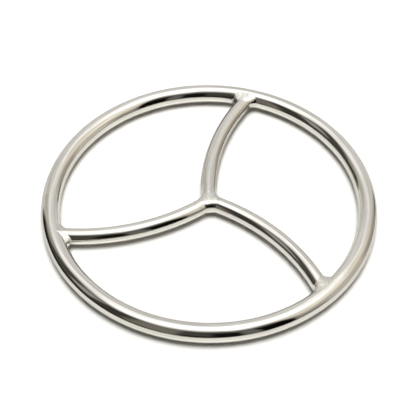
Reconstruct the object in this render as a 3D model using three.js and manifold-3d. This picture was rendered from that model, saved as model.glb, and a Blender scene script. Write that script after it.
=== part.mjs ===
// Rigging ring: a ring of round bar with three curved spokes that meet in a welded hub.
// It is a polished stainless steel weldment with no moving parts. Units are millimetres, +Z is up.
// The origin is the centre of the ring's underside, so the part lies flat on z = 0.

import * as THREE from "three";
import { LoftGeometry } from "three/addons/geometries/LoftGeometry.js";
import { mergeVertices } from "three/addons/utils/BufferGeometryUtils.js";
import Module from "manifold-3d";

const wasm = await Module();
wasm.setup();

// Driving dimensions

const RING_OUTER_DIAMETER = 250;
const RING_BAR_DIAMETER = 14;
const SPOKE_BAR_DIAMETER = 12;

// Each spoke is one circular arc from the hub's centre to the ring's centreline, and it bends
// clockwise on its way out, seen from above. The spokes were bent and fitted by hand, so each has
// its own place on the ring, bend and weld size. On the anticlockwise side of its joint a spoke
// makes an acute corner with the ring, and on the other side an obtuse one.
const SPOKES = [
  { ringAngle: 74.4, bendRadius: 169, acuteLeg: 4, obtuseLeg: 5 },
  { ringAngle: 197, bendRadius: 152, acuteLeg: 5.5, obtuseLeg: 4.5 },
  { ringAngle: 314, bendRadius: 145, acuteLeg: 7, obtuseLeg: 3.5 },
];

const HUB_WELD_RADIUS = 10; // reach of the hub's weld metal along each spoke
const HUB_FILLET_RADIUS = 8; // concave corner between two spokes, at mid height
const HUB_GROUND_FLAT = 1.2; // flat that the polishing leaves on top of the hub

const BUTT_WELD_ANGLE = 128; // where the ring's bar closes on itself
const BUTT_WELD_WIDTH = 2;

const WELD_LEG_AT_CREST = 0.8; // weld size above and below a spoke, where the bars are almost level
const WELD_TOE_HEIGHT = 0.2; // step at the edge of a weld
const GAP = 0.35; // clearance between neighbouring pieces

// Fineness of the faceted shapes

const BAR_SIDES = 16;
const RING_STEPS = 72;
const SPOKE_STEPS = 18;
const WELD_STEPS_AROUND = 36;
const WELD_STEPS_ACROSS = 5;
const WELD_STEPS_ON_RING = 3;
const CORNER_SEARCH_STEPS = 40; // halvings that narrow down where a spoke's side meets the ring
const MERGE_DISTANCE = 1e-4;

// Sizes that follow from them

const RING_RADIUS = (RING_OUTER_DIAMETER - RING_BAR_DIAMETER) / 2; // to the bar's centreline
const RING_BAR_RADIUS = RING_BAR_DIAMETER / 2;
const SPOKE_BAR_RADIUS = SPOKE_BAR_DIAMETER / 2;
const RING_CORNER_RADIUS = RING_BAR_RADIUS / Math.cos(Math.PI / BAR_SIDES);

const UP = new THREE.Vector3(0, 0, 1);

const polished = new THREE.MeshStandardMaterial({ color: 0xd8d4cc, roughness: 0.08, metalness: 1 });
const groundWeld = new THREE.MeshStandardMaterial({ color: 0xcfcac2, roughness: 0.2, metalness: 1 });

// Geometry helpers

function directionAt(degrees) {
  const angle = THREE.MathUtils.degToRad(degrees);
  return new THREE.Vector3(Math.cos(angle), Math.sin(angle), 0);
}

function toSolid(geometry) {
  const bare = geometry.index ? geometry.toNonIndexed() : geometry.clone();
  bare.deleteAttribute("normal");
  bare.deleteAttribute("uv");
  const merged = mergeVertices(bare, MERGE_DISTANCE);
  const triVerts = new Uint32Array(merged.index.array);
  const vertProperties = new Float32Array(merged.attributes.position.array);
  return new wasm.Manifold(new wasm.Mesh({ numProp: 3, vertProperties, triVerts }));
}

function toGeometry(solid) {
  const mesh = solid.getMesh();
  const geometry = new THREE.BufferGeometry();
  geometry.setAttribute("position", new THREE.BufferAttribute(mesh.vertProperties, 3));
  geometry.setIndex(new THREE.BufferAttribute(mesh.triVerts, 1));
  geometry.computeVertexNormals();
  return geometry;
}

function namedMesh(name, geometry, material) {
  const mesh = new THREE.Mesh(geometry, material.clone());
  mesh.name = name;
  return mesh;
}

// A bar's section: a regular polygon with a flat side at the top, bottom, left and right.
// Its flats lie `radius` from the centre.
function barSection(radius) {
  const cornerRadius = radius / Math.cos(Math.PI / BAR_SIDES);
  return Array.from({ length: BAR_SIDES }, (_, i) => {
    const angle = ((i + 0.5) / BAR_SIDES) * 2 * Math.PI;
    return new THREE.Vector2(cornerRadius * Math.cos(angle), cornerRadius * Math.sin(angle));
  });
}

// The ring

// The whole ring as a solid, made thicker by `extra` all over its bar.
function ringSolid(extra) {
  const section = barSection(RING_BAR_RADIUS + extra);
  const profile = section.map((point) => new THREE.Vector2(RING_RADIUS + point.x, point.y));
  profile.push(profile[0].clone());
  const geometry = new THREE.LatheGeometry(profile, RING_STEPS);
  geometry.rotateX(Math.PI / 2);
  return toSolid(geometry);
}

// A slab across the ring's bar at the closing weld.
function slabAcrossBar(thickness) {
  const size = 2 * RING_BAR_DIAMETER;
  const geometry = new THREE.BoxGeometry(size, thickness, size);
  geometry.translate(RING_RADIUS, 0, 0);
  geometry.rotateZ(THREE.MathUtils.degToRad(BUTT_WELD_ANGLE));
  return toSolid(geometry);
}

function outerRing() {
  const bar = ringSolid(0).subtract(slabAcrossBar(BUTT_WELD_WIDTH + 2 * GAP));
  return namedMesh("outer_ring", toGeometry(bar), polished);
}

function ringButtWeld() {
  const weld = ringSolid(0).intersect(slabAcrossBar(BUTT_WELD_WIDTH));
  return namedMesh("ring_butt_weld", toGeometry(weld), groundWeld);
}

// The spokes

// A spoke's centreline. It turns clockwise about a bend centre that lies on its right.
class SpokeLine extends THREE.Curve {
  constructor({ ringAngle, bendRadius }) {
    super();
    const outward = directionAt(ringAngle);
    const toTheRight = outward.clone().cross(UP);
    const halfChord = RING_RADIUS / 2;
    this.bendRadius = bendRadius;
    this.halfSweep = Math.asin(halfChord / bendRadius);
    this.bendCentre = outward
      .clone()
      .multiplyScalar(halfChord)
      .addScaledVector(toTheRight, bendRadius * Math.cos(this.halfSweep));
    this.startAngle = Math.atan2(-this.bendCentre.y, -this.bendCentre.x);
    this.length = 2 * this.halfSweep * bendRadius;
    this.hubHeading = THREE.MathUtils.degToRad(ringAngle) + this.halfSweep;
  }

  // Unit vector from the bend centre to the point at t, which is the spoke's left side there.
  leftAt(t) {
    const angle = this.startAngle - 2 * this.halfSweep * t;
    return new THREE.Vector3(Math.cos(angle), Math.sin(angle), 0);
  }

  getPoint(t, target = new THREE.Vector3()) {
    return target.copy(this.leftAt(t)).multiplyScalar(this.bendRadius).add(this.bendCentre);
  }

  // A point beside the bar: `back` along it from the ring's centreline towards the hub, then
  // `radius` from its centreline, `around` radians from its left side towards the top.
  besideBar(back, radius, around) {
    const left = this.leftAt(1 - back / this.length);
    return this.bendCentre
      .clone()
      .addScaledVector(left, this.bendRadius + radius * Math.cos(around))
      .addScaledVector(UP, radius * Math.sin(around));
  }
}

function spokeBar(line) {
  const geometry = new THREE.ExtrudeGeometry(new THREE.Shape(barSection(SPOKE_BAR_RADIUS)), {
    steps: SPOKE_STEPS,
    extrudePath: line,
    bevelEnabled: false,
  });
  return toSolid(geometry);
}

// A spoke is coped to fit the ring, and its inner end is hollowed to fit the hub's weld.
function spoke(name, line) {
  const bar = spokeBar(line).subtract(ringSolid(GAP)).subtract(hubCylinder(HUB_WELD_RADIUS + GAP));
  return namedMesh(name, toGeometry(bar), polished);
}

// The hub

function hubCylinder(radius) {
  const geometry = new THREE.CylinderGeometry(radius, radius, 2 * SPOKE_BAR_DIAMETER, 3 * BAR_SIDES);
  geometry.rotateX(Math.PI / 2);
  return toSolid(geometry);
}

// A thin three-armed star with a concave arc in each corner. The extrusion's bevel swells it to
// the bars' thickness, which leaves an arc of HUB_FILLET_RADIUS at mid height.
function hubStar(halfWidth, swell) {
  const headings = SPOKES.map((spokeData) => new SpokeLine(spokeData).hubHeading);
  const arcRadius = HUB_FILLET_RADIUS + swell;
  const star = new THREE.Shape();
  const armCorner = (heading, side) =>
    new THREE.Vector2(HUB_WELD_RADIUS + SPOKE_BAR_RADIUS, side).rotateAround(new THREE.Vector2(), heading);
  headings.forEach((heading, i) => {
    const right = armCorner(heading, -halfWidth);
    const left = armCorner(heading, halfWidth);
    if (i === 0) star.moveTo(right.x, right.y);
    else star.lineTo(right.x, right.y);
    star.lineTo(left.x, left.y);

    const next = headings[(i + 1) % headings.length];
    const corner = THREE.MathUtils.euclideanModulo(next - heading, 2 * Math.PI);
    const reach = (halfWidth + arcRadius) / Math.sin(corner / 2);
    const middle = heading + corner / 2;
    const centre = new THREE.Vector2(reach * Math.cos(middle), reach * Math.sin(middle));
    const arcStart = heading - Math.PI / 2;
    star.absarc(centre.x, centre.y, arcRadius, arcStart, arcStart - (Math.PI - corner), true);
  });
  return star;
}

function hubWeld() {
  const halfWidth = HUB_GROUND_FLAT / 2;
  const swell = SPOKE_BAR_RADIUS - halfWidth;
  const geometry = new THREE.ExtrudeGeometry(hubStar(halfWidth, swell), {
    depth: HUB_GROUND_FLAT,
    curveSegments: 4,
    bevelThickness: swell,
    bevelSize: swell,
    bevelSegments: BAR_SIDES / 4,
  });
  geometry.translate(0, 0, -halfWidth);
  const weld = toSolid(geometry).intersect(hubCylinder(HUB_WELD_RADIUS));
  return namedMesh("hub_weld", toGeometry(weld), groundWeld);
}

// The welds between spokes and ring

function nearestOnRingLine(point) {
  return new THREE.Vector3(point.x, point.y, 0).setLength(RING_RADIUS);
}

// Where a line beside the spoke's bar meets the ring's bar, both thickened to the given radii.
function cornerBackFromRing(line, spokeRadius, ringRadius, around) {
  let inside = 0;
  let outside = 4 * ringRadius;
  for (let i = 0; i < CORNER_SEARCH_STEPS; i += 1) {
    const middle = (inside + outside) / 2;
    const point = line.besideBar(middle, spokeRadius, around);
    if (point.distanceTo(nearestOnRingLine(point)) < ringRadius) inside = middle;
    else outside = middle;
  }
  return outside;
}

// A point on the ring's thickened bar, `distance` along it from a corner, away from the spoke.
function alongRingBar(corner, line, around, ringRadius, distance) {
  const ringNormal = corner.clone().sub(nearestOnRingLine(corner)).normalize();
  const away = line
    .besideBar(0, 1, around)
    .sub(line.besideBar(0, 0, around))
    .projectOnPlane(ringNormal)
    .normalize();
  const point = corner.clone().addScaledVector(away, distance);
  const centre = nearestOnRingLine(point);
  return point.sub(centre).setLength(ringRadius).add(centre);
}

// One section through a weld: a concave fillet outside, and the two bars' surfaces inside.
function weldSection(line, around, leg) {
  const spokeRadius = SPOKE_BAR_RADIUS + GAP;
  const ringRadius = RING_CORNER_RADIUS + GAP;
  const innerBack = cornerBackFromRing(line, spokeRadius, ringRadius, around);
  const innerCorner = line.besideBar(innerBack, spokeRadius, around);

  const outerSpokeRadius = spokeRadius + WELD_TOE_HEIGHT;
  const outerRingRadius = ringRadius + WELD_TOE_HEIGHT;
  const outerBack = cornerBackFromRing(line, outerSpokeRadius, outerRingRadius, around);
  const outerCorner = line.besideBar(outerBack, outerSpokeRadius, around);

  const fillet = new THREE.QuadraticBezierCurve3(
    line.besideBar(outerBack + leg, outerSpokeRadius, around),
    outerCorner,
    alongRingBar(outerCorner, line, around, outerRingRadius, leg),
  );
  const alongRing = Array.from({ length: WELD_STEPS_ON_RING }, (_, i) => {
    const distance = leg * (1 - i / WELD_STEPS_ON_RING);
    return alongRingBar(innerCorner, line, around, ringRadius, distance);
  });
  const spokeToe = line.besideBar(outerBack + leg, spokeRadius, around);
  const outline = [...fillet.getPoints(WELD_STEPS_ACROSS), ...alongRing, innerCorner, spokeToe];
  return outline.reverse(); // so that the loft's faces point out
}

function spokeWeld(name, line, { acuteLeg, obtuseLeg }) {
  const sections = Array.from({ length: WELD_STEPS_AROUND + 1 }, (_, i) => {
    const around = ((i % WELD_STEPS_AROUND) / WELD_STEPS_AROUND) * 2 * Math.PI;
    const sideways = Math.cos(around);
    const sideLeg = sideways > 0 ? acuteLeg : obtuseLeg;
    const leg = THREE.MathUtils.lerp(WELD_LEG_AT_CREST, sideLeg, sideways * sideways);
    return weldSection(line, around, leg);
  });
  return namedMesh(name, toGeometry(toSolid(new LoftGeometry(sections))), groundWeld);
}

// The whole part, built about the bars' mid height and raised to lie on z = 0.

const part = new THREE.Group();
part.position.z = RING_BAR_RADIUS;
part.add(outerRing(), ringButtWeld(), hubWeld());
SPOKES.forEach((spokeData, i) => {
  const line = new SpokeLine(spokeData);
  part.add(spoke(`spoke_${i + 1}`, line), spokeWeld(`spoke_weld_${i + 1}`, line, spokeData));
});

export default part;
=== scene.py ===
from collections import namedtuple
from math import asin, atan2, cos, pi, radians, sin

import bmesh
import bpy
import numpy as np
from mathutils import Matrix, Vector, noise


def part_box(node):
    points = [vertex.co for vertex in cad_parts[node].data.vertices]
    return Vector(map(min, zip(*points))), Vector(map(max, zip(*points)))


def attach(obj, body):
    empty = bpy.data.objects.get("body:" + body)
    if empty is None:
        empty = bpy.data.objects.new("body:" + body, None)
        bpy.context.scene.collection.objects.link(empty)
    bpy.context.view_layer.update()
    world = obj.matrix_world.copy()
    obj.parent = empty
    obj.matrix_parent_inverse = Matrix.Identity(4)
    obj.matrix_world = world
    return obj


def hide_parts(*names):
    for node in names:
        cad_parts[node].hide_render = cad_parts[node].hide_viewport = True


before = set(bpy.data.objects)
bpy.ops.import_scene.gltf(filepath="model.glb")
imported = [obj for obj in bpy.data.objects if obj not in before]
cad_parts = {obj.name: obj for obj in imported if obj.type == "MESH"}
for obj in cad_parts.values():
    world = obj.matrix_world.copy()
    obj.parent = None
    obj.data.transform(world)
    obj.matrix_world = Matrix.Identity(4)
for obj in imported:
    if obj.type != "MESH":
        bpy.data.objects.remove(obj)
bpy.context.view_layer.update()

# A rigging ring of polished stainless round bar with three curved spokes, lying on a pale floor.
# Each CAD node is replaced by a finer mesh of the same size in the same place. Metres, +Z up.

MM = 0.001

# Sizes, from the frame

ring_low, ring_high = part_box("outer_ring")
spoke_low, spoke_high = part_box("spoke_1")
RING_BAR_RADIUS = (ring_high.z - ring_low.z) / 2
RING_RADIUS = (ring_high.x - ring_low.x) / 2 - RING_BAR_RADIUS
SPOKE_BAR_RADIUS = (spoke_high.z - spoke_low.z) / 2
MID_HEIGHT = (ring_high.z + ring_low.z) / 2

# The spokes, as in the CAD: each is an arc from the hub's centre to the ring's centreline, at
# ring_angle degrees anticlockwise from +X, and it turns clockwise on its way out.

SPOKES = (
    dict(ring_angle=74.4, bend_radius=169 * MM),
    dict(ring_angle=197.0, bend_radius=152 * MM),
    dict(ring_angle=314.0, bend_radius=145 * MM),
)

# The weld of each spoke to the ring, as its shape at six places round the spoke. The legs are
# its sizes along the spoke and along the ring. Fullness is 0 for a hollow fillet, 1 for a flat
# one and more for a bead that bulges. Lumps is how uneven it is. A weld with a facet_tilt was
# ground to a flat that leans by that many degrees.

Leg = namedtuple("Leg", "on_spoke on_ring fullness lumps")
ROOT = Leg(2.5 * MM, 2.5 * MM, 0.3, 0.05 * MM)
WELDS = (
    dict(
        acute=Leg(4.5 * MM, 4.5 * MM, 0.8, 0.45 * MM),
        acute_shoulder=Leg(6.0 * MM, 6.0 * MM, 1.4, 0.03 * MM),
        crest=Leg(9.0 * MM, 4.2 * MM, 1.05, 0.01 * MM),
        obtuse_shoulder=Leg(6.0 * MM, 3.6 * MM, 1.1, 0.04 * MM),
        obtuse=Leg(4.0 * MM, 4.5 * MM, 0.4, 0.20 * MM),
        root=ROOT,
    ),
    dict(
        acute=Leg(3.6 * MM, 3.6 * MM, 1.3, 0.35 * MM),
        acute_shoulder=Leg(5.6 * MM, 2.4 * MM, 1.2, 0.06 * MM),
        crest=Leg(4.0 * MM, 1.8 * MM, 0.4, 0.04 * MM),
        obtuse_shoulder=Leg(4.0 * MM, 4.0 * MM, 0.8, 0.05 * MM),
        obtuse=Leg(4.0 * MM, 4.5 * MM, 1.0, 0.04 * MM),
        root=ROOT,
        facet_tilt=25.0,
    ),
    dict(
        acute=Leg(4.2 * MM, 4.6 * MM, 0.5, 0.03 * MM),
        acute_shoulder=Leg(6.0 * MM, 5.6 * MM, 0.8, 0.04 * MM),
        crest=Leg(8.0 * MM, 3.8 * MM, 0.95, 0.04 * MM),
        obtuse_shoulder=Leg(6.0 * MM, 4.0 * MM, 0.5, 0.15 * MM),
        obtuse=Leg(3.0 * MM, 3.0 * MM, 0.4, 0.20 * MM),
        root=ROOT,
    ),
)
WELD_LUMP_SIZE = 2.2 * MM
WELD_DEPTH = 1.0 * MM
LIP_DEPTH = 0.12 * MM
FACET_LIFT = 0.1 * MM
FACET_CROWN = 0.08

# Grinding the third spoke's weld also took the tops of both bars down a little near it.

GROUND_JOINT = 3
GROUND_REACH = 34 * MM
GROUND_DEPTH = 0.2 * MM
GROUND_CROWN = 0.15

# The hub weld. The corners are named by the spokes on either side, and flatness is 0 for a round
# corner and 1 for a straight cut across it.

HUB_WELD_REACH = 15 * MM
HUB_BLEND = 3 * MM
HUB_LIP = 0.04 * MM
HUB_UNEVENNESS = 0.05 * MM
HUB_UNEVEN_REACH = (6 * MM, 12 * MM)  # fades out between these distances from the centre
HUB_LUMP_SIZE = 4 * MM
HUB_CORNERS = {
    (1, 2): dict(fillet=9.0 * MM, flatness=0.0),
    (2, 3): dict(fillet=6.3 * MM, flatness=0.8),
    (3, 1): dict(fillet=9.0 * MM, flatness=0.0),
}

BUTT_WELD_ANGLE = 128.0
BUTT_WELD_WIDTH = 2 * MM
BUTT_WELD_OVERLAP = 1 * MM
BUTT_WELD_DIP = 0.02 * MM  # how far its edges dip, less its rise
BUTT_WELD_RISE = 0.004 * MM

# How far in the bars' surfaces waver

RING_WAVINESS = 0.02 * MM
SPOKE_WAVINESS = 0.03 * MM

# Fineness

RING_STEPS = 480
BAR_SIDES = 72
SPOKE_STEPS = 120
WELD_STEPS_AROUND = 120
WELD_STEPS_ACROSS = 20
HUB_STEPS_UP = 36
HUB_STEPS_ALONG = 36
BUTT_WELD_STEPS = 13
SEARCH_STEPS = 40
MERGE_DISTANCE = 1e-7
SMOOTH_BELOW = 55  # degrees between faces


# Mesh helpers


def add_mesh(name, rows, closed_rows=False, caps=False):
    """A mesh from a grid of points, (rows, columns, 3), whose columns close on themselves.

    The rows close too if closed_rows; otherwise caps closes each end with one face."""
    count, around = rows.shape[:2]
    faces = []
    for i in range(count if closed_rows else count - 1):
        this_row, next_row = i * around, (i + 1) % count * around
        for j in range(around):
            k = (j + 1) % around
            faces.append((this_row + j, this_row + k, next_row + k, next_row + j))
    if caps:
        faces.append(tuple(range(around))[::-1])
        faces.append(tuple(range((count - 1) * around, count * around)))
    mesh = bpy.data.meshes.new(name)
    mesh.from_pydata(rows.reshape(-1, 3).tolist(), [], faces)
    mesh.validate()
    return finish_mesh(name, mesh)


def finish_mesh(name, mesh):
    """An object from a mesh, with doubled points merged and faces turned outwards."""
    edit = bmesh.new()
    edit.from_mesh(mesh)
    bmesh.ops.remove_doubles(edit, verts=edit.verts, dist=MERGE_DISTANCE)
    bmesh.ops.recalc_face_normals(edit, faces=edit.faces)
    edit.to_mesh(mesh)
    edit.free()
    mesh.shade_smooth()
    mesh.set_sharp_from_angle(angle=radians(SMOOTH_BELOW))
    piece = bpy.data.objects.new(name, mesh)
    bpy.context.scene.collection.objects.link(piece)
    return piece


def place(piece, node, material):
    """Gives a piece its body and its material, and hides the CAD node that it replaces."""
    piece.data.materials.append(material)
    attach(piece, "root")
    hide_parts(node)


def lumps(points, size, seed):
    """Smooth noise at each point, mostly from -1 to 1, with lumps of the given size."""
    shift = Vector((seed * 7.31, seed * 3.17, seed * 5.93))
    values = [noise.noise(Vector(point) / size + shift) for point in points.reshape(-1, 3).tolist()]
    return np.array(values).reshape(points.shape[:-1]) * 2


def ground_joint():
    """Where the joint that was ground lies, on the ring's centreline."""
    angle = radians(SPOKES[GROUND_JOINT - 1]["ring_angle"])
    return RING_RADIUS * cos(angle), RING_RADIUS * sin(angle), MID_HEIGHT


def ground_flat(points, bar_radius):
    """Points on a bar, with its top ground a little flat near the joint that was ground."""
    joint = ground_joint()
    apart = np.hypot(points[..., 0] - joint[0], points[..., 1] - joint[1])
    depth = GROUND_DEPTH * (1 - smooth_step(apart, GROUND_REACH / 4, GROUND_REACH))
    over = np.maximum(points[..., 2] - (MID_HEIGHT + bar_radius - depth), 0)
    points[..., 2] -= over * (1 - GROUND_CROWN)
    return points


def smooth_step(value, low, high):
    share = np.clip((value - low) / (high - low), 0, 1)
    return share * share * (3 - 2 * share)


def unit(vectors):
    return vectors / np.linalg.norm(vectors, axis=-1, keepdims=True)


# The ring


def ring_surface(start, stop, steps, sink=0.0):
    """Points on the ring's bar between two angles in radians, (steps, BAR_SIDES, 3)."""
    angle = np.linspace(start, stop, steps)[:, None]
    around = np.linspace(0, 2 * pi, BAR_SIDES, endpoint=False)[None, :]
    x, y = np.cos(angle), np.sin(angle)
    out = np.stack([x * np.cos(around), y * np.cos(around), np.sin(around) + 0 * angle], -1)
    centre = RING_RADIUS * np.stack([x, y, 0 * angle], -1)
    wave = hand_bent_waviness(angle, around)
    points = centre + out * (RING_BAR_RADIUS - sink + wave)[..., None]
    points[..., 2] += MID_HEIGHT
    return points


def hand_bent_waviness(angle, around):
    """The polished bar's slight waviness, never outwards past its true radius."""
    long_wave = np.sin(23 * angle + 1.3 * np.sin(3 * angle) + np.sin(around + 0.7))
    short_wave = np.sin(61 * angle + 2.1 * np.sin(5 * angle) + 2 * np.sin(around + 2.0))
    return -RING_WAVINESS * (1 - 0.65 * long_wave - 0.35 * short_wave) / 2


def make_outer_ring(material):
    half = BUTT_WELD_WIDTH / 2 / RING_RADIUS
    weld = radians(BUTT_WELD_ANGLE)
    rows = ground_flat(ring_surface(weld + half, weld + 2 * pi - half, RING_STEPS), RING_BAR_RADIUS)
    place(add_mesh("ring_bar", rows, caps=True), "outer_ring", material)


def make_ring_butt_weld(material):
    """The closing weld's slice, whose edges dip just under the bar's surface on either side.

    Its middle stands a little proud of the bar, but never above or below the ring itself."""
    half = (BUTT_WELD_WIDTH / 2 + BUTT_WELD_OVERLAP) / RING_RADIUS
    weld = radians(BUTT_WELD_ANGLE)
    across = np.linspace(-1, 1, BUTT_WELD_STEPS)[:, None]
    dip = BUTT_WELD_DIP * np.abs(across) ** 3 - BUTT_WELD_RISE
    rows = ring_surface(weld - half, weld + half, BUTT_WELD_STEPS, sink=dip)
    rows[..., 2] = np.clip(rows[..., 2], ring_low.z, ring_high.z)
    place(add_mesh("ring_closing_weld", rows, caps=True), "ring_butt_weld", material)


# The spokes


class SpokeLine:
    """A spoke's centreline, an arc that turns clockwise about a bend centre on its right."""

    def __init__(self, ring_angle, bend_radius):
        outward = np.array([cos(radians(ring_angle)), sin(radians(ring_angle))])
        right = np.array([outward[1], -outward[0]])
        half_chord = RING_RADIUS / 2
        half_sweep = asin(half_chord / bend_radius)
        self.bend_radius = bend_radius
        self.centre = outward * half_chord + right * bend_radius * cos(half_sweep)
        self.start_angle = atan2(-self.centre[1], -self.centre[0])
        self.length = 2 * half_sweep * bend_radius

    def beside(self, along, radius, around):
        """Points `along` the spoke from the hub's centre, `radius` from its centreline, `around`
        radians from its left side towards the top."""
        along, radius, around = np.broadcast_arrays(along, radius, around)
        angle = self.start_angle - along / self.bend_radius
        reach = self.bend_radius + radius * np.cos(around)
        x = self.centre[0] + reach * np.cos(angle)
        y = self.centre[1] + reach * np.sin(angle)
        return np.stack([x, y, MID_HEIGHT + radius * np.sin(around)], -1)

    def along_at(self, point):
        """How far along the spoke the given point lies beside it."""
        offset = point - self.centre
        turned = self.start_angle - atan2(offset[1], offset[0])
        return ((turned + pi) % (2 * pi) - pi) * self.bend_radius

    def to_ring(self, spoke_radius, ring_radius, around):
        """How far along the spoke a line beside it meets the ring's bar, at those two radii."""
        near = np.full(np.shape(around), self.length - 4 * ring_radius)
        far = np.full(np.shape(around), self.length)
        for _ in range(SEARCH_STEPS):
            middle = (near + far) / 2
            inside = distance_to_ring_line(self.beside(middle, spoke_radius, around)) < ring_radius
            near, far = np.where(inside, near, middle), np.where(inside, middle, far)
        return near


def ring_line_point(points):
    """The nearest point on the ring's centreline to each point."""
    flat = points[..., :2]
    flat = unit(flat) * RING_RADIUS
    return np.concatenate([flat, np.full(flat.shape[:-1] + (1,), MID_HEIGHT)], -1)


def distance_to_ring_line(points):
    return np.linalg.norm(points - ring_line_point(points), axis=-1)


def onto_ring_bar(points, radius):
    """Points moved onto the ring's bar at the given radius."""
    centre = ring_line_point(points)
    return centre + unit(points - centre) * radius


def make_spoke(number, line, material):
    """A spoke's bar, from inside the hub weld to its coped end just inside the ring's bar."""
    around = np.linspace(0, 2 * pi, BAR_SIDES, endpoint=False)
    stop = line.to_ring(SPOKE_BAR_RADIUS, RING_BAR_RADIUS - WELD_DEPTH, around)
    start = HUB_WELD_REACH - HUB_BLEND
    share = np.linspace(0, 1, SPOKE_STEPS)[:, None]
    along = start + share * (stop - start)
    wave = spoke_waviness(along, around[None, :], number)
    rows = ground_flat(line.beside(along, SPOKE_BAR_RADIUS + wave, around[None, :]), SPOKE_BAR_RADIUS)
    piece = add_mesh(f"spoke_bar_{number}", rows, caps=True)
    place(piece, f"spoke_{number}", material)


def spoke_waviness(along, around, seed):
    """A spoke's slight waviness, never outwards past its true radius."""
    height = SPOKE_WAVINESS * smooth_step(along, HUB_WELD_REACH, HUB_WELD_REACH + 10 * MM)
    share = along / RING_RADIUS
    wave = np.sin(31 * share + seed + np.sin(around + seed)) + np.sin(57 * share + 2 * seed)
    return -height * (1 - wave / 2) / 2


# The hub weld


def hub_corner(line, after, tilt, fillet, flatness):
    """The outline of the corner between a spoke and the next one anticlockwise, at one height.

    It runs in along the first spoke's left edge, round the corner, and out along the next
    spoke's right edge. tilt is how far up each bar's surface it lies, in radians."""
    along = hub_steps()
    aside = SPOKE_BAR_RADIUS + fillet
    middle = hub_fillet_centre(line, after, line.bend_radius + aside, after.bend_radius - aside)
    first_touch, next_touch = line.along_at(middle), after.along_at(middle)

    radius = hub_arm_radius(along)
    first_edge = line.beside(along, radius, tilt)
    next_edge = after.beside(along, radius, pi - tilt)
    start = line.beside(first_touch, SPOKE_BAR_RADIUS, tilt)
    stop = after.beside(next_touch, SPOKE_BAR_RADIUS, pi - tilt)
    first_turn = corner_turn(start, stop, middle, flatness, 0.5 - 0.5 * along / first_touch)
    next_turn = corner_turn(start, stop, middle, flatness, 0.5 + 0.5 * along / next_touch)
    first_side = np.where((along < first_touch)[:, None], first_turn, first_edge)
    next_side = np.where((along < next_touch)[:, None], next_turn, next_edge)
    return np.concatenate([first_side, next_side[-2::-1]])


def hub_steps():
    """Distances along an arm of the hub weld, from its end to the hub's centre."""
    return np.linspace(HUB_WELD_REACH, 0, HUB_STEPS_ALONG)


def corner_turn(start, stop, middle, flatness, share):
    """Points round a corner, between an arc about its middle and a straight cut across it."""
    centre = np.array([*middle, start[2]])
    chord = start - centre + share[:, None] * (stop - start)
    arc = unit(chord) * np.linalg.norm(start - centre)
    return centre + arc + flatness * (chord - arc)


def hub_spine(line, after, side):
    """The crests of the two spokes beside a corner, on the top (side 1) or the bottom (-1)."""
    along = hub_steps()
    radius = hub_arm_radius(along)
    first_side = line.beside(along, radius, side * pi / 2)
    next_side = after.beside(along, radius, side * pi / 2)
    return np.concatenate([first_side, next_side[-2::-1]])


def hub_arm_radius(along):
    """The arms' radius, which dips just under the spoke's surface where the weld ends."""
    return SPOKE_BAR_RADIUS - HUB_LIP * smooth_step(along, HUB_WELD_REACH - HUB_BLEND, HUB_WELD_REACH)


def hub_fillet_centre(line, after, first_reach, next_reach):
    """Where the circles of those two reaches about the spokes' bend centres cross, near the hub."""
    between = after.centre - line.centre
    apart = np.linalg.norm(between)
    along = (first_reach**2 - next_reach**2 + apart**2) / (2 * apart)
    aside = max(first_reach**2 - along**2, 0.0) ** 0.5
    forward = between / apart
    normal = np.array([-forward[1], forward[0]])
    both = [line.centre + forward * along + normal * aside * side for side in (-1, 1)]
    return min(both, key=np.linalg.norm)


def make_hub_weld(lines, material):
    """The hub: outlines of the three bars with filled corners, stacked from bottom to top.

    The first and last rows run along the crests, and close the flats between them."""
    tilts = np.linspace(-pi / 2, pi / 2, HUB_STEPS_UP + 1)
    columns = []
    for (first, after), shape in HUB_CORNERS.items():
        pair = lines[first - 1], lines[after - 1]
        rows = [hub_corner(*pair, tilt, **shape) for tilt in tilts]
        columns.append(np.array([hub_spine(*pair, -1), *rows, hub_spine(*pair, 1)]))
    rows = np.concatenate(columns, 1)
    fade = 1 - smooth_step(np.hypot(rows[..., 0], rows[..., 1]), *HUB_UNEVEN_REACH)
    level = (rows[..., 2] - MID_HEIGHT) / SPOKE_BAR_RADIUS
    rows[..., 2] -= HUB_UNEVENNESS * fade * level**3 * (1 + lumps(rows, HUB_LUMP_SIZE, seed=4))
    piece = add_mesh("hub_weld_metal", rows)
    place(piece, "hub_weld", material)


# The welds between spokes and ring


def weld_values(weld, around):
    """The weld's legs, fullness and lumps at each angle round the spoke, as one Leg of arrays."""
    from_top = np.abs((around - pi / 2 + pi) % (2 * pi) - pi)
    acute_side = np.cos(around) > 0
    places = np.radians([0, 45, 90, 180])
    values = []
    for k in range(len(Leg._fields)):
        acute, obtuse = (
            np.interp(
                from_top,
                places,
                [weld["crest"][k], weld[side + "_shoulder"][k], weld[side][k], weld["root"][k]],
            )
            for side in ("acute", "obtuse")
        )
        values.append(smooth_round(np.where(acute_side, acute, obtuse)))
    return Leg(*values)


def smooth_round(values):
    """Values round a spoke, each averaged with its neighbours on both sides."""
    reach = len(values) // 20
    return sum(np.roll(values, k) for k in range(-reach, reach + 1)) / (2 * reach + 1)


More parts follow.
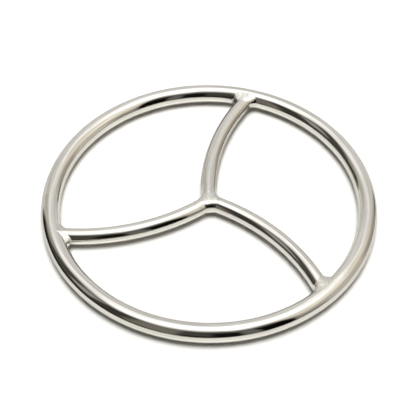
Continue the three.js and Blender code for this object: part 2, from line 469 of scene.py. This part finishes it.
def spoke_weld_rows(line, weld, seed):
    """The weld's section at each angle round the spoke, as closed outlines.

    Outside it runs from lip to lip, each just under a bar's surface, and inside it reaches
    WELD_DEPTH into both bars."""
    around = np.linspace(0, 2 * pi, WELD_STEPS_AROUND, endpoint=False)
    on_spoke, on_ring, fullness, unevenness = weld_values(weld, around)
    fullness = fullness[:, None]

    corner_along = line.to_ring(SPOKE_BAR_RADIUS, RING_BAR_RADIUS, around)
    corner = line.beside(corner_along, SPOKE_BAR_RADIUS, around)
    away = line.beside(corner_along, SPOKE_BAR_RADIUS + MM, around) - corner
    ring_normal = unit(corner - ring_line_point(corner))
    away = unit(away - ring_normal * (away * ring_normal).sum(-1, keepdims=True))

    spoke_lip = line.beside(corner_along - on_spoke, SPOKE_BAR_RADIUS - LIP_DEPTH, around)
    ring_lip = onto_ring_bar(corner + away * on_ring[:, None], RING_BAR_RADIUS - LIP_DEPTH)
    spoke_handle = line.beside(corner_along - 0.35 * on_spoke, SPOKE_BAR_RADIUS, around)
    ring_handle = onto_ring_bar(corner + away * (0.35 * on_ring)[:, None], RING_BAR_RADIUS)
    spoke_handle += fullness * (spoke_lip + (ring_lip - spoke_lip) / 3 - spoke_handle)
    ring_handle += fullness * (ring_lip + (spoke_lip - ring_lip) / 3 - ring_handle)
    share = np.linspace(0, 1, WELD_STEPS_ACROSS)
    outside = np.stack([bezier(spoke_lip, spoke_handle, ring_handle, ring_lip, t) for t in share], 1)

    inner_spoke = SPOKE_BAR_RADIUS - WELD_DEPTH
    inner_ring = RING_BAR_RADIUS - WELD_DEPTH
    inner_corner = line.beside(line.to_ring(inner_spoke, inner_ring, around), inner_spoke, around)
    height = unevenness[:, None] * np.sin(pi * share) ** 0.7
    height = height * (lumps(outside, WELD_LUMP_SIZE, seed) - 0.3)
    outside += unit(outside - inner_corner[:, None]) * height[..., None]
    if "facet_tilt" in weld:
        outside = ground_facet(outside, line, corner_along[0], weld["facet_tilt"])
    inside = [
        onto_ring_bar(ring_lip, inner_ring),
        inner_corner,
        line.beside(corner_along - on_spoke, inner_spoke, around),
    ]
    return np.concatenate([outside, np.stack(inside, 1)], 1)


def ground_facet(points, line, along, tilt):
    """Points of a weld ground down to a plane that just touches the spoke on its acute side.

    The plane leans tilt degrees from the level towards that side."""
    centre = line.beside(along, 0.0, 0.0)
    normal = unit(line.beside(along, MM, radians(90 - tilt)) - centre)
    over = np.maximum((points - centre) @ normal - SPOKE_BAR_RADIUS - FACET_LIFT, 0)
    return points - normal * over[..., None] * (1 - FACET_CROWN)


def bezier(start, start_handle, end_handle, end, t):
    return (
        (1 - t) ** 3 * start
        + 3 * (1 - t) ** 2 * t * start_handle
        + 3 * (1 - t) * t**2 * end_handle
        + t**3 * end
    )


def make_spoke_weld(number, line, weld, material):
    rows = spoke_weld_rows(line, weld, seed=number)
    piece = add_mesh(f"spoke_weld_metal_{number}", rows, closed_rows=True)
    place(piece, f"spoke_weld_{number}", material)


# Materials

STREAK_STRETCH = 0.04
RUBBED_ROUGHNESS = 0.20  # how much rougher the steel is where it was ground
RUBBED_ABOVE = (MID_HEIGHT + 3.5 * MM, MID_HEIGHT + 5.5 * MM)  # only the upper sides are dull
GRINDING_CENTRE = (1.0, 0.0)  # so far off that the grinding marks on the welds are nearly straight
EDGE_BRIGHTNESS = 0.7  # how much light the steel reflects where it is seen edge on
SPOKE_FINISH = ((0.016 * MM, 0.35), (0.010 * MM, 0.7), (0.010 * MM, 0.7))  # streaks and edge


class Nodes:
    """Short calls for making a node tree."""

    def __init__(self, tree):
        self.tree = tree
        tree.nodes.clear()

    def fill(self, socket, value):
        """Links an input to another node's output, or gives it a plain value."""
        if isinstance(value, bpy.types.NodeSocket):
            self.tree.links.new(value, socket)
        else:
            socket.default_value = value

    def add(self, kind, inputs=None, **settings):
        node = self.tree.nodes.new(kind)
        for name, value in settings.items():
            setattr(node, name, value)
        for name, value in (inputs or {}).items():
            self.fill(node.inputs[name], value)
        return node

    def math(self, operation, *values):
        return self.add("ShaderNodeMath", dict(enumerate(values)), operation=operation).outputs[0]

    def mix(self, factor, first, second):
        node = self.add("ShaderNodeMix", {0: factor, 6: first, 7: second}, data_type="RGBA")
        return node.outputs[2]

    def ramp(self, value, low, high, to_low=0.0, to_high=1.0):
        node = self.add(
            "ShaderNodeMapRange",
            {"Value": value, "From Min": low, "From Max": high, "To Min": to_low, "To Max": to_high},
            interpolation_type="SMOOTHSTEP",
        )
        return node.outputs["Result"]

    def noise(self, where, scale, detail=3.0, roughness=0.5):
        node = self.add(
            "ShaderNodeTexNoise",
            {"Vector": where, "Scale": scale, "Detail": detail, "Roughness": roughness},
        )
        return node.outputs["Fac"]


def bar_coordinates(nodes, bend_centre):
    """Coordinates along, across and up a bar that bends about a centre, stretched along it."""
    where = nodes.add("ShaderNodeTexCoord").outputs["Object"]
    centre = (bend_centre[0], bend_centre[1], MID_HEIGHT)
    aside = nodes.add("ShaderNodeVectorMath", {0: where, 1: centre}, operation="SUBTRACT").outputs[0]
    axes = nodes.add("ShaderNodeSeparateXYZ", {"Vector": aside}).outputs
    turn = nodes.math("ARCTAN2", axes["Y"], axes["X"])
    flat = nodes.add("ShaderNodeVectorMath", {0: aside, 1: (1, 1, 0)}, operation="MULTIPLY").outputs[0]
    reach = nodes.add("ShaderNodeVectorMath", {0: flat}, operation="LENGTH").outputs["Value"]
    along = nodes.math("MULTIPLY", turn, RING_RADIUS * STREAK_STRETCH)
    return nodes.add("ShaderNodeCombineXYZ", {"X": along, "Y": reach, "Z": axes["Z"]}).outputs[0]


def metal_material(name, clean, worn, smooth, rough, streaks, marks, edge, bend_centre=(0, 0)):
    """Polished steel: a bright base with faint stains, and streaks and fine marks from polishing.

    Streaks and marks are heights in metres. The streaks run along the bar. Near the joint that
    was ground the steel is duller."""
    material = bpy.data.materials.new(name)
    material.use_nodes = True
    nodes = Nodes(material.node_tree)
    where = nodes.add("ShaderNodeTexCoord").outputs["Object"]
    along_bar = bar_coordinates(nodes, bend_centre)

    stain = nodes.ramp(nodes.noise(along_bar, 700.0, 4.0, 0.6), 0.38, 0.64)
    colour = nodes.mix(stain, clean, worn)
    polish = nodes.ramp(nodes.noise(along_bar, 500.0, 4.0, 0.6), 0.35, 0.7, smooth, rough)
    rubbed = rubbed_share(nodes, where, along_bar)
    roughness = nodes.math("ADD", polish, nodes.math("MULTIPLY", rubbed, RUBBED_ROUGHNESS))

    streak_noise = nodes.noise(along_bar, 420.0, 2.0)
    mark_noise = nodes.noise(where, 2600.0, 2.0)
    streak_bump = nodes.add(
        "ShaderNodeBump", {"Height": streak_noise, "Strength": 1.0, "Distance": streaks}
    )
    mark_bump = nodes.add(
        "ShaderNodeBump",
        {"Height": mark_noise, "Strength": 1.0, "Distance": marks, "Normal": streak_bump.outputs[0]},
    )
    shader = nodes.add(
        "ShaderNodeBsdfPrincipled",
        {
            "Base Color": colour,
            "Metallic": 1.0,
            "Roughness": roughness,
            "Specular Tint": tinted(WHITE, edge),
            "Normal": mark_bump.outputs[0],
        },
    )
    nodes.add("ShaderNodeOutputMaterial", {"Surface": shader.outputs[0]})
    return material


def rubbed_share(nodes, where, along_bar):
    """How dull the steel is, from 1 on top of the ground joint to 0 away from it and lower down,
    with streaky edges."""
    apart = nodes.add("ShaderNodeVectorMath", {0: where, 1: ground_joint()}, operation="DISTANCE")
    fade = nodes.ramp(apart.outputs["Value"], GROUND_REACH / 3, GROUND_REACH * 1.3, 1.0, 0.0)
    height = nodes.add("ShaderNodeSeparateXYZ", {"Vector": where}).outputs["Z"]
    upper = nodes.ramp(height, *RUBBED_ABOVE)
    patchy = nodes.ramp(nodes.noise(along_bar, 700.0), 0.3, 0.65, 0.6, 1.0)
    return nodes.math("MULTIPLY", nodes.math("MULTIPLY", fade, upper), patchy)


def polished_steel(name, bend_centre=(0, 0), streaks=0.010 * MM, edge=EDGE_BRIGHTNESS):
    return metal_material(
        name,
        clean=(0.70, 0.675, 0.625, 1),
        worn=(0.60, 0.585, 0.54, 1),
        smooth=0.02,
        rough=0.07,
        streaks=streaks,
        marks=0.0001 * MM,
        edge=edge,
        bend_centre=bend_centre,
    )


def weld_steel(name, bend_centre):
    return metal_material(
        name,
        clean=(0.68, 0.66, 0.61, 1),
        worn=(0.60, 0.58, 0.53, 1),
        smooth=0.04,
        rough=0.12,
        streaks=0.008 * MM,
        marks=0.0001 * MM,
        edge=EDGE_BRIGHTNESS,
        bend_centre=bend_centre,
    )


# Studio

FLOOR_RADIUS = 3.0
FLOOR_COLOUR = (0.68, 0.68, 0.665, 1)
PAPER_REACH = (0.03, 0.08)  # how far off the metal sees the paper, before the room takes over
# Painted light: in the steel, the paper close to the metal is made brighter.
PAPER_NEAR = (0.001, 0.012)  # how near the metal the paper looks brightest in it
PAPER_GLOW_REACH = (0.004, 0.012)  # how near the metal the paper's shadow is filled with light
PAPER_GLOW = 0.40
PAPER_NEAR_TINT = (1.0, 0.995, 0.96)
PAPER_NEAR_BRIGHTNESS = 0.95
# Painted shade: in the steel, the paper goes dark well to the object's left.
PAPER_EDGE = (-0.195, -0.135)  # where, left of the object, the steel sees the paper go dark
PAPER_DARK = 0.10
FLOOR_SEEN_TINT = (1.0, 0.993, 0.955)
FLOOR_SEEN_BRIGHTNESS = 0.73


def make_floor():
    """A pale round floor under the object."""
    angle = np.linspace(0, 2 * pi, 96, endpoint=False)
    rim = np.stack([np.cos(angle), np.sin(angle), 0 * angle], -1) * FLOOR_RADIUS
    mesh = bpy.data.meshes.new("floor")
    mesh.from_pydata(rim.tolist(), [], [tuple(range(len(rim)))])
    mesh.materials.append(floor_material())
    floor = bpy.data.objects.new("floor", mesh)
    bpy.context.scene.collection.objects.link(floor)


def floor_material():
    """Paper that the camera sees evenly pale. In the steel it has painted light close by, painted shade
    well to the object's left, and gives way to the room further off. Real paper doesn't do that."""
    material = bpy.data.materials.new("floor_paper")
    material.use_nodes = True
    nodes = Nodes(material.node_tree)
    path = nodes.add("ShaderNodeLightPath").outputs
    paper = reflected_paper(nodes, path)
    gone = nodes.add("ShaderNodeBsdfTransparent").outputs[0]
    away = nodes.ramp(path["Ray Length"], *PAPER_REACH)
    reflected = nodes.add("ShaderNodeMixShader", {"Fac": away, 1: paper, 2: gone}).outputs[0]
    pale = tinted(FLOOR_SEEN_TINT, FLOOR_SEEN_BRIGHTNESS)
    seen = nodes.add("ShaderNodeBsdfDiffuse", {"Color": pale}).outputs[0]
    camera_ray = path["Is Camera Ray"]
    both = nodes.add("ShaderNodeMixShader", {"Fac": camera_ray, 1: reflected, 2: seen}).outputs[0]
    nodes.add("ShaderNodeOutputMaterial", {"Surface": both})
    return material


def reflected_paper(nodes, path):
    """The paper as the steel sees it from close by, with painted light near the metal, painted shade
    well to the object's left, and its shadow filled with a little light by a painted glow.
    """
    where = nodes.add("ShaderNodeTexCoord").outputs["Object"]
    axes = nodes.add("ShaderNodeSeparateXYZ", {"Vector": where}).outputs
    grain = nodes.mix(nodes.noise(where, 900.0), FLOOR_COLOUR, tinted(FLOOR_COLOUR[:3], 1.04))
    # painted shade: the paper goes dark well to the object's left
    lit = nodes.ramp(axes["X"], *PAPER_EDGE, PAPER_DARK, 1.0)
    # painted light: the paper is brighter close to the metal
    near = nodes.ramp(path["Ray Length"], *PAPER_NEAR, 1.0, 0.0)
    bright = nodes.mix(near, grain, tinted(PAPER_NEAR_TINT, PAPER_NEAR_BRIGHTNESS))
    colour = nodes.mix(lit, (0, 0, 0, 1), bright)
    paper = nodes.add("ShaderNodeBsdfDiffuse", {"Color": colour}).outputs[0]
    # painted glow: the paper near the metal gives off light in the steel's first reflection, filling its
    # shadow
    first_bounce = nodes.math("LESS_THAN", path["Ray Depth"], 1.5)
    closeness = nodes.ramp(path["Ray Length"], *PAPER_GLOW_REACH, PAPER_GLOW, 0.0)
    glow = nodes.math("MULTIPLY", closeness, first_bounce)
    light = nodes.add("ShaderNodeEmission", {"Color": tinted(NEUTRAL, 1.0), "Strength": glow}).outputs[0]
    return nodes.add("ShaderNodeAddShader", {0: paper, 1: light}).outputs[0]


# What surrounds the object, as soft-edged cards: from and to in degrees anticlockwise from +X,
# from and to in degrees above the horizon, colour, brightness, and the softness of the upright
# edges and of the top edge in degrees. The camera stands at 270. Later cards cover earlier ones.
# A card that crosses 90 degrees ends there, so both backdrop cards reach only from 48 to 90.
# The names are guesses at what stood in the room. The last card isn't part of a room: it stands for a
# dark mark seen on the ring's outer side, as a painted dark reflection, a dark patch in the surroundings
# that the ring's outer side reflects.

WARM = (1.0, 0.945, 0.845)
CREAM = (1.0, 0.93, 0.83)
BROWN = (1.0, 0.91, 0.80)
NEUTRAL = (1.0, 0.99, 0.965)
WHITE = (1.0, 1.0, 1.0)
Card = namedtuple("Card", "name left right bottom top tint brightness side_blur top_blur")
CARDS = (
    ("backdrop_low", 48, 132, 12, 38, WHITE, 0.81, 10, 7),
    ("backdrop_floor_line", 48, 132, -16, 7, WHITE, 0.97, 10, 6),
    ("right_wall_top", -42, 40, 26, 54, CREAM, 0.95, 12, 10),
    ("right_wall_crown", -4, 64, 43, 62, CREAM, 1.06, 10, 6),
    ("right_wall_glow", -18, 12, 40, 60, CREAM, 1.30, 8, 6),
    ("left_wall_top", 104, 152, 50, 67, NEUTRAL, 1.28, 10, 7),
    ("right_wall", -42, 48, -12, 32, WARM, 0.69, 12, 9),
    ("right_wall_corner", 14, 38, -12, 27, BROWN, 0.47, 5, 10),
    ("backdrop_shade", 122, 150, 12, 44, WARM, 0.68, 8, 8),
    ("right_ceiling", 314, 347, 44, 70, CREAM, 1.05, 9, 7),
    ("room_left", 146, 204, -7, 61, WARM, 0.085, 3, 13),
    ("room_mid_left", 200, 250, -4, 70, WARM, 0.055, 5, 20),
    ("room_front", 246, 290, -2, 73, WARM, 0.07, 8, 22),
    ("room_right", 287, 324, -2, 65, WARM, 0.07, 6, 17),
    ("low_corner", 318, 340, -4, 20, WARM, 0.33, 7, 12),
    ("table_edge", 147, 182, -11, 9, WARM, 0.01, 4, 4),
    ("table_side", 170, 238, -6, 11, WARM, 0.03, 4, 4),
    ("room_left_edge", 146, 158, 22, 58, WARM, 0.42, 5, 8),
    ("window", 181, 198, 20, 48, NEUTRAL, 0.42, 3, 4),
    ("curtain", 222, 253, 4, 56, WARM, 0.22, 5, 7),
    ("photographer", 256, 288, -2, 52, WARM, 0.075, 3, 8),
    ("photographer_legs", 254, 288, -3, 14, WARM, 0.02, 4, 4),
    ("photographer_arm", 273, 290, -1, 43, WARM, 0.008, 3, 6),
    ("grey_strip", 291, 300, -2, 56, NEUTRAL, 0.16, 2, 5),
    ("doorway", 301, 320, -3, 44, WARM, 0.004, 1.5, 5),
    # painted dark reflection: a dark patch that shows as a dark mark on the ring's outer side
    ("outer_rim_dark_reflection", 35, 44, -14, 3, BROWN, 0.10, 2, 3),
)
OVERHEAD_BRIGHTNESS = 1.9
BACKDROP_BRIGHTNESS = 0.90
FAR_FLOOR_BRIGHTNESS = 0.62
CAMERA_SIDE = 270
OVERHEAD_FROM = (42, 66)  # the backdrop turns into the overhead between these elevations
NEAR_SIDE_TO = (-0.1, 0.3)  # the far floor shows on the camera's side, and fades out over these
CARD_BOTTOM_BLUR = 1

# The lamp, a soft round patch high over the object, and its tilt towards the backdrop. The floor
# is lit by it and by a share of the room's light.

LAMP_TILT = 5.5
LAMP_RADIUS = 22.0
LAMP_BRIGHTNESS = 16.0
ROOM_SHARE = 0.5


def make_studio():
    """The steel reflects the room without the lamp, the floor is lit by the lamp and a share of the
    room, and the camera sees white."""
    world = bpy.data.worlds.new("studio")
    bpy.context.scene.world = world
    world.use_nodes = True
    nodes = Nodes(world.node_tree)
    towards = nodes.add("ShaderNodeTexCoord").outputs["Generated"]
    path = nodes.add("ShaderNodeLightPath").outputs
    room = room_colour(nodes, towards)
    colour = nodes.mix(path["Is Glossy Ray"], floor_light(nodes, towards, room), room)
    surround = nodes.add("ShaderNodeBackground", {"Color": colour, "Strength": 1.0}).outputs[0]
    white = nodes.add("ShaderNodeBackground", {"Color": (1, 1, 1, 1), "Strength": 1.0}).outputs[0]
    camera_ray = path["Is Camera Ray"]
    both = nodes.add("ShaderNodeMixShader", {"Fac": camera_ray, 1: surround, 2: white}).outputs[0]
    nodes.add("ShaderNodeOutputWorld", {"Surface": both})


def room_colour(nodes, towards):
    """The room's light from each direction: backdrop, overhead, far floor, then the cards."""
    axes = nodes.add("ShaderNodeSeparateXYZ", {"Vector": towards}).outputs
    elevation = nodes.math("DEGREES", nodes.math("ARCSINE", axes["Z"]))
    to_camera = nodes.math("MULTIPLY", axes["Y"], -1.0)
    azimuth = nodes.math("DEGREES", nodes.math("ARCTAN2", axes["X"], to_camera))
    rise = nodes.ramp(elevation, *OVERHEAD_FROM)
    colour = nodes.mix(rise, tinted(WHITE, BACKDROP_BRIGHTNESS), tinted(WHITE, OVERHEAD_BRIGHTNESS))
    near_side = nodes.ramp(axes["Y"], *NEAR_SIDE_TO, 1.0, 0.0)
    low = nodes.math("MULTIPLY", nodes.ramp(elevation, 0, 3, 1.0, 0.0), near_side)
    colour = nodes.mix(low, colour, tinted(WARM, FAR_FLOOR_BRIGHTNESS))
    for card in map(Card._make, CARDS):
        mask = card_mask(nodes, card, azimuth, elevation)
        colour = nodes.mix(mask, colour, tinted(card.tint, card.brightness))
    return colour


def card_mask(nodes, card, azimuth, elevation):
    """How much of a card shows in each direction. Azimuths here run from -180 to 180, and 0 is
    the camera's side."""
    left, right = card.left - CAMERA_SIDE, card.right - CAMERA_SIDE
    if left < -180:
        left, right = left + 360, right + 360
    from_left = nodes.ramp(azimuth, left - card.side_blur, left + card.side_blur)
    to_right = nodes.ramp(azimuth, right - card.side_blur, right + card.side_blur, 1.0, 0.0)
    from_bottom = nodes.ramp(elevation, card.bottom - CARD_BOTTOM_BLUR, card.bottom + CARD_BOTTOM_BLUR)
    to_top = nodes.ramp(elevation, card.top - card.top_blur, card.top + card.top_blur, 1.0, 0.0)
    across = nodes.math("MULTIPLY", from_left, to_right)
    return nodes.math("MULTIPLY", across, nodes.math("MULTIPLY", from_bottom, to_top))


def floor_light(nodes, towards, room):
    """The light that falls on the floor: the lamp, and a share of the room's."""
    lamp_axis = (0.0, sin(radians(LAMP_TILT)), cos(radians(LAMP_TILT)))
    facing = nodes.add("ShaderNodeVectorMath", {0: towards, 1: lamp_axis}, operation="DOT_PRODUCT")
    lamp = nodes.ramp(facing.outputs["Value"], cos(radians(LAMP_RADIUS)), cos(radians(LAMP_RADIUS / 3)))
    share_of_room = nodes.mix(ROOM_SHARE, (0, 0, 0, 1), room)
    return nodes.mix(lamp, share_of_room, tinted(WHITE, LAMP_BRIGHTNESS))


def tinted(tint, brightness):
    return (*(channel * brightness for channel in tint), 1.0)


# Camera: its height over the ring's centre, its distance in ring radii, its roll, and how far
# the ring's centre lies right of and above the middle of the frame, as shares of its width.

CAMERA_ELEVATION = 49.11
CAMERA_DISTANCE = 7.069 * RING_RADIUS
CAMERA_ROLL = 0.898
CAMERA_FRAME_WIDTHS = 2.657  # focal length as a share of the frame's width
CENTRE_RIGHT = -0.0018
CENTRE_ABOVE = 0.0187
SENSOR_WIDTH = 36


def make_camera():
    tilt = radians(CAMERA_ELEVATION)
    forward = Vector((0, cos(tilt), -sin(tilt)))
    side = Vector((1, 0, 0))
    above = side.cross(forward)
    roll = radians(CAMERA_ROLL)
    right = cos(roll) * side + sin(roll) * above
    up = cos(roll) * above - sin(roll) * side
    turned = Matrix((right, up, -forward)).transposed()
    to_centre = Vector((CENTRE_RIGHT, CENTRE_ABOVE, -CAMERA_FRAME_WIDTHS)).normalized()
    data = bpy.data.cameras.new("camera")
    data.sensor_width = SENSOR_WIDTH
    data.lens = CAMERA_FRAME_WIDTHS * SENSOR_WIDTH
    data.clip_start = 0.05
    data.clip_end = 20
    camera = bpy.data.objects.new("camera", data)
    place_at = Vector((0, 0, MID_HEIGHT)) - turned @ to_centre * CAMERA_DISTANCE
    camera.matrix_world = Matrix.Translation(place_at) @ turned.to_4x4()
    bpy.context.scene.collection.objects.link(camera)
    bpy.context.scene.camera = camera


# The scene

ring_metal = polished_steel("polished_ring_bar")
weld_metal = weld_steel("ground_weld_metal", GRINDING_CENTRE)
lines = [SpokeLine(**data) for data in SPOKES]
make_outer_ring(ring_metal)
make_ring_butt_weld(weld_metal)
make_hub_weld(lines, weld_metal)
for number, (line, weld) in enumerate(zip(lines, WELDS), 1):
    streaks, edge = SPOKE_FINISH[number - 1]
    bar_metal = polished_steel(f"polished_spoke_bar_{number}", line.centre.tolist(), streaks, edge)
    make_spoke(number, line, bar_metal)
    make_spoke_weld(number, line, weld, weld_metal)
make_floor()
make_studio()
make_camera()
bpy.context.scene.view_settings.view_transform = "Standard"
